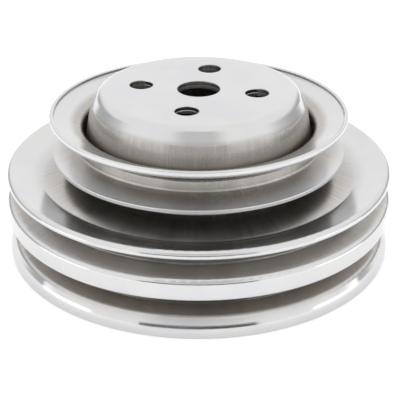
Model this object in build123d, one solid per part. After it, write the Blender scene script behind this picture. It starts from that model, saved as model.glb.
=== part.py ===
"""Three-groove pressed-steel V-belt pulley, chrome plated, as separate pressings and welds.

Millimetres. The pulley's axis is Z. Z = 0 is the pump-side edge of the rear lip, and +Z
points to the fan side. X and Y run through the four bolt holes.
"""

from build123d import *

import os
from math import cos, radians, sin, tan

# ---- Driving dimensions: the sheet and the hub --------------------------------------------

sheet = 1.5                      # steel thickness of every pressing
edge_round = 0.3                 # rounding of each cut sheet edge

hub_face_height = 62.5           # fan-side face of the hub, above the lip's edge
hub_shoulder_slope = 60.0        # degrees between the shoulder and the face
hub_crease_inset = 3.55          # from the skirt's radius in to the crease under the shoulder
hub_crease_drop = 5.6            # from the face down to the crease
hub_waist_inset = 2.45           # the same for the waist, where the wall turns steeper
hub_waist_drop = 9.2
hub_foot_height = 38.5           # where the wall turns into the skirt
hub_brow_bend = 2.75             # all bends are radii on the middle of the sheet
hub_crease_bend = 1.1
hub_waist_bend = 12.0
hub_foot_bend = 6.0

pilot_bore = 15.9                # centre hole, for a 5/8 in pump shaft pilot
bolt_circle = 44.45              # 1 3/4 in
bolt_hole = 8.8                  # clears a 5/16 in bolt
bolt_count = 4
plate_shoulder_gap = 0.4         # from the backing plate's edge to the shoulder's curve

# ---- Driving dimensions: grooves and rims -------------------------------------------------

groove_half_angle = 18.0         # degrees between a groove wall and the belt's plane
large_rim_radius = 74.5          # rear lip and divider ridge
front_bead_radius = 73.9         # hemmed fan-side rim of the large sheave
small_rim_radius = 56.55         # lipped fan-side rim of the small sheave
small_rear_rim_radius = 56.1     # trimmed pump-side rim of the small sheave

rear_groove_height = 10.85       # centre plane of the rear large groove
groove_pitch = 15.8              # from there to the centre plane of the front large groove
small_groove_offset = 19.25      # and from there to the centre plane of the small groove
large_groove_opening = 8.3       # between the wall lines, at the rim
small_groove_opening = 12.4

large_neck_radius = 64.2         # outer face of the sleeves inside the large grooves
small_neck_radius = 45.7         # outer face of the sleeve inside the small groove
small_sleeve_end = 32.5          # free lower end of the small sheave's sleeve
small_collar_top = 46.7          # free upper end of the collar in the small groove
small_lip_height = 2.4           # lip turned up above the small groove's wall line
web_collar_top = 38.5            # free upper end of the web's collar
divider_collar_length = 7.0      # from the collar's corner to its free end
rear_collar_length = 6.5
sleeve_setback = 1.6             # a sleeve stops this far short of the collar round it

web_slope = 16.0                 # degrees, the web's rise from its valley to its collar
web_valley_radius = 60.5
hem_gap = 0.25                   # between the two layers of the hemmed front flange
rear_lip_height = 3.45           # straight part of the rear lip, to the corner where it leans in
rear_lip_lean = 30.0             # degrees between the lip's leaning part and the axis

web_valley_bend = 3.0
small_lip_bend = 1.05
ridge_bend = 1.25
rear_lip_bend = 5.25
rear_lip_wall_bend = 1.5
neck_bend = 1.55
collar_bend = 1.25

# ---- Driving dimensions: welds ------------------------------------------------------------

nugget_depth = 0.8               # how far a spot weld reaches into the two outer sheets
plate_nugget_radius = 2.5
plate_nugget_count = 4
collar_nugget_radius = 1.6
hub_nugget_count = 8
small_neck_nugget_radius = 1.3
small_neck_nugget_count = 8
stitch_radius = 1.0
stitch_sweep = 18.0              # degrees round the axis
stitch_count = 6

# ---- Dependent sizes ----------------------------------------------------------------------

half_sheet = sheet / 2
groove_slope = tan(radians(groove_half_angle))
surface_rise = half_sheet / cos(radians(groove_half_angle))  # middle line to surface, along Z
front_groove_height = rear_groove_height + groove_pitch
small_groove_height = front_groove_height + small_groove_offset

large_sleeve_middle = large_neck_radius - half_sheet
large_collar_middle = large_neck_radius + half_sheet
small_sleeve_middle = small_neck_radius - half_sheet
small_collar_middle = small_neck_radius + half_sheet
hub_skirt_middle = small_sleeve_middle - sheet
hub_shoulder_angle = radians(hub_shoulder_slope)
hub_brow_height = hub_face_height - half_sheet
hub_crease_radius = hub_skirt_middle - hub_crease_inset
hub_crease_height = hub_face_height - hub_crease_drop
hub_shoulder_run = (hub_brow_height - hub_crease_height) / tan(hub_shoulder_angle)
hub_brow_radius = hub_crease_radius - hub_shoulder_run
hub_flat_radius = hub_brow_radius - hub_brow_bend * tan(hub_shoulder_angle / 2)
plate_radius = hub_flat_radius - plate_shoulder_gap
plate_joint_height = hub_face_height - sheet


# ---- Groove walls -------------------------------------------------------------------------


def wall_middle(groove_height, opening, rim_radius, radius, side):
    """Height of the middle line of a groove wall; side is +1 for fan side, -1 for pump side."""
    half_width = opening / 2 - (rim_radius - radius) * groove_slope
    return groove_height + side * (half_width + surface_rise)


def rear_wall(radius, side):
    return wall_middle(rear_groove_height, large_groove_opening, large_rim_radius, radius, side)


def front_wall(radius, side):
    return wall_middle(front_groove_height, large_groove_opening, large_rim_radius, radius, side)


def small_wall(radius, side):
    return wall_middle(small_groove_height, small_groove_opening, small_rim_radius, radius, side)


divider_collar_end = front_wall(large_collar_middle, -1) - divider_collar_length
rear_collar_end = rear_wall(large_collar_middle, -1) - rear_collar_length
front_sleeve_end = divider_collar_end + sleeve_setback
divider_sleeve_end = rear_collar_end + sleeve_setback

# ---- Sections, drawn with the radius along X and the height along Y -----------------------


def sheet_section(*lines):
    """Section of a sheet along its middle line, with both cut edges rounded."""
    section = trace(list(lines), line_width=sheet)
    for end in (lines[0] @ 0, lines[-1] @ 1):
        section = fillet(section.vertices().sort_by_distance(end)[:2], edge_round)
    return section


def trimmed(section, radius):
    """The section cut off square at a radius, with the new edge rounded."""
    room = section.bounding_box().size.Y * 4
    kept = section & Pos(radius / 2, section.center().Y) * Rectangle(radius, room)
    return fillet(kept.vertices().sort_by(Axis.X)[-2:], edge_round)


def hub_cup_section():
    """Flat face, sloping shoulder, crease, flared wall, and a skirt inside the sleeve."""
    return sheet_section(
        FilletPolyline(
            (pilot_bore / 2, hub_brow_height),
            (hub_brow_radius, hub_brow_height),
            (hub_crease_radius, hub_crease_height),
            (hub_skirt_middle - hub_waist_inset, hub_face_height - hub_waist_drop),
            (hub_skirt_middle, hub_foot_height),
            (hub_skirt_middle, small_sleeve_end),
            radius=[hub_brow_bend, hub_crease_bend, hub_waist_bend, hub_foot_bend],
        )
    )


def backing_plate_section():
    height = plate_joint_height - half_sheet
    return sheet_section(Line((pilot_bore / 2, height), (plate_radius, height)))


def small_front_section():
    """Turned-up lip, groove wall, and the long sleeve that carries the whole sheave."""
    lip_middle = small_rim_radius - half_sheet
    lip_top = small_groove_height + small_groove_opening / 2 + small_lip_height
    return sheet_section(
        FilletPolyline(
            (lip_middle, lip_top),
            (lip_middle, small_wall(lip_middle, 1)),
            (small_sleeve_middle, small_wall(small_sleeve_middle, 1)),
            (small_sleeve_middle, small_sleeve_end),
            radius=[small_lip_bend, neck_bend],
        )
    )


def small_rear_section():
    """Collar round the sleeve, and a groove wall trimmed square at its rim."""
    beyond = small_rear_rim_radius + 2 * sheet
    untrimmed = sheet_section(
        FilletPolyline(
            (small_collar_middle, small_collar_top),
            (small_collar_middle, small_wall(small_collar_middle, -1)),
            (beyond, small_wall(beyond, -1)),
            radius=neck_bend,
        )
    )
    return trimmed(untrimmed, small_rear_rim_radius)


def large_front_section():
    """Collar, web, valley, hemmed rim, and back in along the groove wall to a sleeve."""
    half_angle = radians(groove_half_angle)
    hem_bend = half_sheet + hem_gap / 2
    bead_radius = front_bead_radius - half_sheet - hem_bend
    bead_height = front_wall(bead_radius, 1) + hem_bend / cos(half_angle)
    hem_start = (bead_radius - hem_bend * sin(half_angle), bead_height + hem_bend * cos(half_angle))
    valley_height = hem_start[1] - (hem_start[0] - web_valley_radius) * groove_slope
    web_rise = (web_valley_radius - small_collar_middle) * tan(radians(web_slope))
    web = FilletPolyline(
        (small_collar_middle, web_collar_top),
        (small_collar_middle, valley_height + web_rise),
        (web_valley_radius, valley_height),
        hem_start,
        radius=[collar_bend, web_valley_bend],
    )
    hem = JernArc(start=web @ 1, tangent=web % 1, radius=hem_bend, arc_size=-180)
    wall = FilletPolyline(
        hem @ 1,
        (large_sleeve_middle, front_wall(large_sleeve_middle, 1)),
        (large_sleeve_middle, front_sleeve_end),
        radius=neck_bend,
    )
    return sheet_section(web, hem, wall)


def divider_section():
    """Collar, front groove's wall, ridge, rear groove's wall, and a sleeve."""
    ridge_middle = large_rim_radius - half_sheet
    return sheet_section(
        FilletPolyline(
            (large_collar_middle, divider_collar_end),
            (large_collar_middle, front_wall(large_collar_middle, -1)),
            (ridge_middle, front_wall(ridge_middle, -1)),
            (ridge_middle, rear_wall(ridge_middle, 1)),
            (large_sleeve_middle, rear_wall(large_sleeve_middle, 1)),
            (large_sleeve_middle, divider_sleeve_end),
            radius=[collar_bend, ridge_bend, ridge_bend, neck_bend],
        )
    )


def large_rear_section():
    """Leaning lip, rear groove's wall, and a collar turned down round the divider's sleeve."""
    lip_middle = large_rim_radius - half_sheet
    lean = tan(radians(rear_lip_lean))
    rise = rear_wall(lip_middle, -1) - rear_lip_height
    wall_start = lip_middle - rise * lean / (1 - lean * groove_slope)
    return sheet_section(
        FilletPolyline(
            (lip_middle, 0),
            (lip_middle, rear_lip_height),
            (wall_start, rear_wall(wall_start, -1)),
            (large_collar_middle, rear_wall(large_collar_middle, -1)),
            (large_collar_middle, rear_collar_end),
            radius=[rear_lip_bend, rear_lip_wall_bend, collar_bend],
        )
    )


# ---- Solids -------------------------------------------------------------------------------


def pressing(section, turn=360):
    """A section turned round the pulley's axis."""
    return revolve(Plane.XZ * section, axis=Axis.Z, revolution_arc=turn)


def around(shape, count, first=0.0):
    """Copies of a solid, evenly spaced round the axis."""
    return [Rot(0, 0, first + 360 * step / count) * shape for step in range(count)]


def drilled(disc, top_height):
    """A disc with the bolt holes through it, and the holes' upper edges rounded."""
    hole = Pos(bolt_circle / 2, 0, hub_face_height) * Cylinder(bolt_hole / 2, 4 * sheet)
    disc = disc - around(hole, bolt_count)
    rims = disc.edges().filter_by(GeomType.CIRCLE)
    rims = rims.filter_by(lambda edge: abs(edge.radius - bolt_hole / 2) < edge_round / 2)
    rims = rims.filter_by(lambda edge: abs(edge.center().Z - top_height) < edge_round / 2)
    return fillet(rims, edge_round)


def plate_nuggets():
    """Spot welds between the plate and the face, midway between the bolt holes."""
    nugget = Cylinder(plate_nugget_radius, 2 * nugget_depth)
    nugget = Pos(bolt_circle / 2, 0, plate_joint_height) * nugget
    return around(nugget, plate_nugget_count, 180 / plate_nugget_count)


def radial_nugget(nugget_radius, inner, outer, height):
    """A spot weld that runs outwards from one radius to another."""
    nugget = Rot(0, 90, 0) * Cylinder(nugget_radius, outer - inner)
    return Pos((inner + outer) / 2, 0, height) * nugget


def hub_nuggets():
    """Spot welds through the web's collar, the small sheave's sleeve and the hub's skirt."""
    inner = small_neck_radius - sheet - nugget_depth
    outer = small_neck_radius + nugget_depth
    height = (small_sleeve_end + web_collar_top) / 2
    return around(radial_nugget(collar_nugget_radius, inner, outer, height), hub_nugget_count)


def small_neck_nuggets():
    """Spot welds through the small rear flange's collar and the sleeve."""
    inner = small_neck_radius - nugget_depth
    outer = small_neck_radius + nugget_depth
    lowest = small_wall(small_collar_middle, -1) + neck_bend
    height = (lowest + small_collar_top) / 2
    nugget = radial_nugget(small_neck_nugget_radius, inner, outer, height)
    return around(nugget, small_neck_nugget_count)


def stitches(sleeve_end, sleeve_section, collar_section):
    """Short fillet welds in the corner between a sleeve's end and the collar round it."""
    bead = Pos(large_neck_radius, sleeve_end) * Circle(stitch_radius)
    bead = bead - sleeve_section - collar_section
    stitch = pressing(bead, stitch_sweep)
    return around(stitch, stitch_count)


def build():
    """Every node of the pulley, by name."""
    plate_welds = plate_nuggets()
    hub_welds = hub_nuggets()
    small_neck_welds = small_neck_nuggets()
    front_section = large_front_section()
    divider = divider_section()
    rear_section = large_rear_section()
    hub_cup = drilled(pressing(hub_cup_section()), hub_face_height)
    plate = drilled(pressing(backing_plate_section()), plate_joint_height)
    return {
        "hub_cup": hub_cup - plate_welds - hub_welds,
        "hub_backing_plate": plate - plate_welds,
        "small_sheave_front_flange": pressing(small_front_section()) - hub_welds - small_neck_welds,
        "small_sheave_rear_flange": pressing(small_rear_section()) - small_neck_welds,
        "large_sheave_front_flange": pressing(front_section) - hub_welds,
        "groove_divider_ring": pressing(divider),
        "large_sheave_rear_flange": pressing(rear_section),
        "backing_plate_welds": Compound(children=plate_welds),
        "hub_collar_welds": Compound(children=hub_welds),
        "small_neck_welds": Compound(children=small_neck_welds),
        "front_neck_welds": Compound(children=stitches(front_sleeve_end, front_section, divider)),
        "rear_neck_welds": Compound(children=stitches(divider_sleeve_end, divider, rear_section)),
    }


os.makedirs("parts", exist_ok=True)
for name, shape in build().items():
    export_step(shape, f"parts/{name}.step")
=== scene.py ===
"""Chrome three-groove V-belt pulley: looks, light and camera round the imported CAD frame.

Metres. The axis is Z, and the pulley stands on the floor at Z = 0.
"""
from math import cos, pi, radians, sin

import bpy
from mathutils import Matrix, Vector

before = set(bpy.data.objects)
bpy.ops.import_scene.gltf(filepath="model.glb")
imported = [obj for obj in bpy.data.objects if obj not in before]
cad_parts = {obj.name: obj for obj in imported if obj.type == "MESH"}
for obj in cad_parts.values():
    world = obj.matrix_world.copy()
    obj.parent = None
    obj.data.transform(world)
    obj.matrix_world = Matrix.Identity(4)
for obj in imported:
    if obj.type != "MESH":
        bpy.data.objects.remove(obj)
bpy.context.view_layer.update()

# ---- Camera and studio sizes ----

VIEW_AZIMUTH = radians(11.0)     # the camera's side of the pulley, turned from -Y towards +X
CAMERA_DISTANCE = 0.3768
CAMERA_SIDE = 0.0005
CAMERA_HEIGHT = 0.2087
CAMERA_PITCH = radians(27.17)
LENS = 95.86                     # mm
SENSOR_WIDTH = 36                # mm

FLOOR_SIZE = 6.0
FLOOR_SHADE = 0.92
FLOOR_GLOW = 0.35
FLOOR_GLOW_EDGE = (0.064, 0.080)  # radii between which the glow sets in, at the pulley's rim
STAGE_ROUGHNESS = 0.9
STAGE_SHEEN = 0.1

CARD_DISTANCE = 0.34
CARD_SHADE = 0.02
CARDS = (                        # low cards to reflect: azimuth, half width, height, glow
    ("black", 0, 0.19, 0.085, 0.0),
    ("white_left", -72, 0.10, 0.050, 2.2),
    ("white_right", 76, 0.10, 0.050, 2.2),
)

TENT_LEVEL = 1.15
TENT_PATCHES = (                 # degrees: azimuth, half width, lowest, highest, softness; level
    (120, 35, -30, 18, 10, 0.55),
    (0, 26, 26, 62, 12, 0.75),
)


def place(azimuth, elevation, distance):
    """A point round the pulley; azimuth 0 is the camera's side."""
    turn = VIEW_AZIMUTH + azimuth
    ahead = Vector((sin(turn) * cos(elevation), -cos(turn) * cos(elevation), sin(elevation)))
    return ahead * distance


# ---- Shader building ----

class Graph:
    """A material's or world's node tree, with short calls for the nodes used here."""

    def __init__(self, tree):
        self.tree = tree

    def node(self, kind, **settings):
        made = self.tree.nodes.new(kind)
        for key, value in settings.items():
            setattr(made, key, value)
        return made

    def feed(self, socket, value):
        if isinstance(value, bpy.types.NodeSocket):
            self.tree.links.new(value, socket)
        else:
            socket.default_value = value

    def math(self, operation, *values):
        made = self.node("ShaderNodeMath", operation=operation)
        for socket, value in zip(made.inputs, values):
            self.feed(socket, value)
        return made.outputs[0]

    def add(self, first, second):
        return self.math("ADD", first, second)

    def times(self, first, second):
        return self.math("MULTIPLY", first, second)

    def hypotenuse(self, x, y):
        return self.math("SQRT", self.add(self.times(x, x), self.times(y, y)))

    def span(self, value, start, end, low=0.0, high=1.0):
        """Smooth change from low to high while value goes from start to end."""
        made = self.node("ShaderNodeMapRange", interpolation_type="SMOOTHSTEP")
        for name, given in zip(("Value", "From Min", "From Max", "To Min", "To Max"),
                               (value, start, end, low, high)):
            self.feed(made.inputs[name], given)
        return made.outputs["Result"]

    def mix(self, factor, first, second):
        made = self.node("ShaderNodeMix", data_type="RGBA")
        self.feed(made.inputs[0], factor)
        self.feed(made.inputs[6], first)
        self.feed(made.inputs[7], second)
        return made.outputs[2]

    def noise(self, vector, scale, detail, roughness):
        made = self.node("ShaderNodeTexNoise")
        self.feed(made.inputs["Vector"], vector)
        self.feed(made.inputs["Scale"], scale)
        self.feed(made.inputs["Detail"], detail)
        self.feed(made.inputs["Roughness"], roughness)
        return made.outputs["Fac"]

    def join(self, x, y, z):
        made = self.node("ShaderNodeCombineXYZ")
        for socket, value in zip(made.inputs, (x, y, z)):
            self.feed(socket, value)
        return made.outputs[0]

    def split(self, vector):
        made = self.node("ShaderNodeSeparateXYZ")
        self.feed(made.inputs[0], vector)
        return made.outputs


# ---- Materials ----

CHROME = (0.640, 0.636, 0.632, 1)
COOL_CHROME = (0.615, 0.617, 0.630, 1)
FOOT_SHADE_CHROME = (0.52, 0.49, 0.445, 1)        # painted shade: darker and warmer, towards the hub's foot
RECESS_SHADE_CHROME = (0.40, 0.375, 0.345, 1)       # painted shade, deep in a groove, down the hub's wall and under a flange
UNDERSIDE_SHADE_CHROME = (0.16, 0.15, 0.138, 1)        # painted shade on the faces that look down or inwards

BUFFING = 0.75                   # how far the buffing marks draw reflections out across them
ACROSS_THE_MARKS = 0.25          # a quarter turn from the ring direction

RINGS_PER_METRE = 2600.0
RING_BREAKS = 3.0                # how much a ring changes on its way round
STREAKS_ROUND = 46.0
STREAKS_PER_METRE = 60.0
HAZE_PER_METRE = 55.0
ORANGE_PEEL_PER_METRE = 900.0

HAZE_TINT = (0.35, 0.65)         # levels of noise between which it takes effect
HAZE_ROUGHNESS = (0.3, 0.7)
RING_ROUGHNESS = (0.35, 0.75)
STREAK_TINT = (0.25, 0.75)
SMOOTHEST = 0.85                 # share of a piece's roughness where there is least haze
ROUGHEST = 1.2
LEAST_TINT = 0.7                 # share of a painted shade that is left between the streaks

FACING_DOWN = (-0.75, -0.9)      # the normal's rise, from where a surface starts to get painted shade and more roughness
FACING_INWARD = (-0.05, -0.25)   # the same for the normal's outward part
TONE_ROUGHNESS = 0.08            # added where foot shade and recess shade are painted
DULL_ROUGHNESS = 0.2             # added where the underside shade is painted

RING_RELIEF = 0.35
STREAK_RELIEF = 0.8
BUMP_STRENGTH = 0.25
BUMP_DEPTH = 0.00002


def plated(name, polish, grain=0.02, foot_shade=None, recess_shade=None, dull_and_shade_below=False):
    """Show chrome over buffed steel.

    polish: roughness of the plating
    grain: roughness that the buffing rings add
    foot_shade: heights between which painted shade takes the plating from full to darker and warmer
    recess_shade: radii between which painted shade takes the plating from full to dark
    dull_and_shade_below: the surfaces that face down or inwards were never polished, so are rougher,
    and get painted shade
    """
    material = bpy.data.materials.new(name)
    material.use_nodes = True
    graph = Graph(material.node_tree)
    shader = material.node_tree.nodes["Principled BSDF"]
    shader.inputs["Metallic"].default_value = 1
    shader.inputs["Anisotropic"].default_value = BUFFING
    shader.inputs["Anisotropic Rotation"].default_value = ACROSS_THE_MARKS
    round_axis = graph.node("ShaderNodeTangent", direction_type="RADIAL", axis="Z")
    graph.feed(shader.inputs["Tangent"], round_axis.outputs[0])

    spot = graph.node("ShaderNodeTexCoord").outputs["Object"]
    x, y, height = graph.split(spot)
    facing_x, facing_y, facing_up = graph.split(graph.node("ShaderNodeNewGeometry").outputs["Normal"])
    radius = graph.hypotenuse(x, y)
    around_x = graph.math("DIVIDE", x, radius)
    around_y = graph.math("DIVIDE", y, radius)
    # buffing leaves fine rings, drawing leaves soft streaks down the walls
    ring_spot = graph.join(graph.times(radius, RINGS_PER_METRE),
                           graph.times(height, RINGS_PER_METRE),
                           graph.times(around_x, RING_BREAKS))
    streak_spot = graph.join(graph.times(around_x, STREAKS_ROUND),
                             graph.times(around_y, STREAKS_ROUND),
                             graph.times(height, STREAKS_PER_METRE))
    rings = graph.noise(ring_spot, 1.0, detail=4.0, roughness=0.7)
    streaks = graph.noise(streak_spot, 1.0, detail=3.0, roughness=0.65)
    haze = graph.noise(spot, HAZE_PER_METRE, detail=4.0, roughness=0.6)
    orange_peel = graph.noise(spot, ORANGE_PEEL_PER_METRE, detail=2.0, roughness=0.5)

    color = graph.mix(graph.span(haze, *HAZE_TINT), CHROME, COOL_CHROME)
    rough = graph.add(graph.span(haze, *HAZE_ROUGHNESS, polish * SMOOTHEST, polish * ROUGHEST),
                      graph.span(rings, *RING_ROUGHNESS, 0.0, grain))
    patchy = graph.span(streaks, *STREAK_TINT, LEAST_TINT, 1.0)
    # painted shade: the hub darker and warmer towards its foot, each piece darker deep in its grooves
    # and recesses
    for limits, along, tone in ((foot_shade, height, FOOT_SHADE_CHROME), (recess_shade, radius, RECESS_SHADE_CHROME)):
        if limits:
            share = graph.times(graph.span(along, *limits), patchy)
            color = graph.mix(share, color, tone)
            rough = graph.add(rough, graph.times(share, TONE_ROUGHNESS))
    # painted shade on the surfaces that face down or inwards, together with real extra roughness
    if dull_and_shade_below:
        outward = graph.add(graph.times(facing_x, around_x), graph.times(facing_y, around_y))
        shade_and_dull_mask = graph.math("MAXIMUM", graph.span(facing_up, *FACING_DOWN),
                            graph.span(outward, *FACING_INWARD))
        color = graph.mix(graph.times(shade_and_dull_mask, patchy), color, UNDERSIDE_SHADE_CHROME)
        rough = graph.add(rough, graph.times(shade_and_dull_mask, DULL_ROUGHNESS))
    graph.feed(shader.inputs["Base Color"], color)
    graph.feed(shader.inputs["Roughness"], rough)

    relief = graph.add(graph.times(rings, RING_RELIEF),
                       graph.add(graph.times(streaks, STREAK_RELIEF), orange_peel))
    bump = graph.node("ShaderNodeBump")
    graph.feed(bump.inputs["Strength"], BUMP_STRENGTH)
    graph.feed(bump.inputs["Distance"], BUMP_DEPTH)
    graph.feed(bump.inputs["Height"], relief)
    graph.feed(shader.inputs["Normal"], bump.outputs[0])
    return material


STEP_TOP = 0.0570                # heights on the hub, between which painted shade darkens and warms it towards its foot
HUB_FOOT = 0.0450
WELD = dict(polish=0.4, grain=0.1)
# the looks' settings for the foot, the recesses and the undersides paint shade into the plating's
# colour
LOOKS = {
    "hub_cup": dict(polish=0.17, foot_shade=(STEP_TOP, HUB_FOOT), recess_shade=(0.0396, 0.0412), dull_and_shade_below=True),
    "hub_backing_plate": dict(polish=0.26, dull_and_shade_below=True),
    "small_sheave_front_flange": dict(polish=0.18, recess_shade=(0.0500, 0.0465)),
    "small_sheave_rear_flange": dict(polish=0.17, recess_shade=(0.0565, 0.0490), dull_and_shade_below=True),
    "large_sheave_front_flange": dict(polish=0.16, recess_shade=(0.0660, 0.0540)),
    "groove_divider_ring": dict(polish=0.14, recess_shade=(0.0742, 0.0712)),
    "large_sheave_rear_flange": dict(polish=0.14, recess_shade=(0.0742, 0.0705)),
    "backing_plate_welds": WELD,
    "hub_collar_welds": WELD,
    "small_neck_welds": WELD,
    "front_neck_welds": WELD,
    "rear_neck_welds": WELD,
}

for node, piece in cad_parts.items():
    piece.data.materials.clear()
    piece.data.materials.append(plated("finish_" + node, **LOOKS[node]))


# ---- Studio ----

def plain(name, shade):
    """A matt grey material and its shader, which glows once it is given a strength."""
    material = bpy.data.materials.new(name)
    material.use_nodes = True
    shader = material.node_tree.nodes["Principled BSDF"]
    shader.inputs["Base Color"].default_value = (shade, shade, shade, 1)
    shader.inputs["Roughness"].default_value = STAGE_ROUGHNESS
    shader.inputs["Specular IOR Level"].default_value = STAGE_SHEEN
    shader.inputs["Emission Color"].default_value = (1, 1, 1, 1)
    return material, shader


def floor():
    """Pale floor with a little glow of its own, except under the pulley."""
    bpy.ops.mesh.primitive_plane_add(size=FLOOR_SIZE, location=(0, 0, 0))
    plane = bpy.context.object
    plane.name = "studio_floor"
    material, shader = plain("studio_floor", FLOOR_SHADE)
    graph = Graph(material.node_tree)
    x, y, _ = graph.split(graph.node("ShaderNodeTexCoord").outputs["Object"])
    glow = graph.span(graph.hypotenuse(x, y), *FLOOR_GLOW_EDGE, 0.0, FLOOR_GLOW)
    graph.feed(shader.inputs["Emission Strength"], glow)
    plane.data.materials.append(material)


def low_cards():
    """Cards that only the pulley's reflections show."""
    for name, azimuth, half_width, tall, glow in CARDS:
        spot = place(radians(azimuth), 0, CARD_DISTANCE) + Vector((0, 0, tall / 2))
        bpy.ops.mesh.primitive_plane_add(size=1, location=spot)
        card = bpy.context.object
        card.name = "studio_card_" + name
        card.rotation_euler = (pi / 2, 0, VIEW_AZIMUTH + radians(azimuth))
        card.scale = (2 * half_width, tall, 1)
        card.visible_camera = False
        card.visible_shadow = False
        card.visible_diffuse = False
        material, shader = plain(card.name, CARD_SHADE)
        shader.inputs["Emission Strength"].default_value = glow
        card.data.materials.append(material)


def studio():
    """Light tent: even and white, but for a greyer patch in front and one behind at each side."""
    world = bpy.data.worlds.new("studio")
    bpy.context.scene.world = world
    world.use_nodes = True
    graph = Graph(world.node_tree)
    background = world.node_tree.nodes["Background"]
    background.inputs["Color"].default_value = (1, 1, 1, 1)
    x, y, up = graph.split(graph.node("ShaderNodeTexCoord").outputs["Generated"])
    ahead = graph.add(graph.times(x, sin(VIEW_AZIMUTH)), graph.times(y, -cos(VIEW_AZIMUTH)))
    across = graph.add(graph.times(x, cos(VIEW_AZIMUTH)), graph.times(y, sin(VIEW_AZIMUTH)))
    azimuth = graph.math("ABSOLUTE", graph.math("ARCTAN2", across, ahead))
    elevation = graph.math("ARCSINE", up)
    level = TENT_LEVEL
    for turn, half_width, low, high, soft, shade in TENT_PATCHES:
        off = graph.math("ABSOLUTE", graph.math("SUBTRACT", azimuth, radians(turn)))
        inside = graph.span(off, radians(half_width + soft), radians(half_width - soft))
        above = graph.span(elevation, radians(low - soft), radians(low + soft))
        below = graph.span(elevation, radians(high + soft), radians(high - soft))
        inside = graph.times(graph.times(inside, above), below)
        change = graph.times(inside, graph.math("SUBTRACT", shade, level))
        level = graph.add(level, change)
    graph.feed(background.inputs["Strength"], level)


def camera():
    data = bpy.data.cameras.new("camera")
    ob = bpy.data.objects.new("camera", data)
    bpy.context.scene.collection.objects.link(ob)
    data.lens = LENS
    data.sensor_width = SENSOR_WIDTH
    right = Vector((cos(VIEW_AZIMUTH), sin(VIEW_AZIMUTH), 0))
    ob.location = place(0, 0, CAMERA_DISTANCE) + right * CAMERA_SIDE + Vector((0, 0, CAMERA_HEIGHT))
    ob.rotation_euler = (pi / 2 - CAMERA_PITCH, 0, VIEW_AZIMUTH)
    bpy.context.scene.camera = ob


floor()
low_cards()
studio()
camera()
bpy.context.scene.view_settings.view_transform = "Standard"
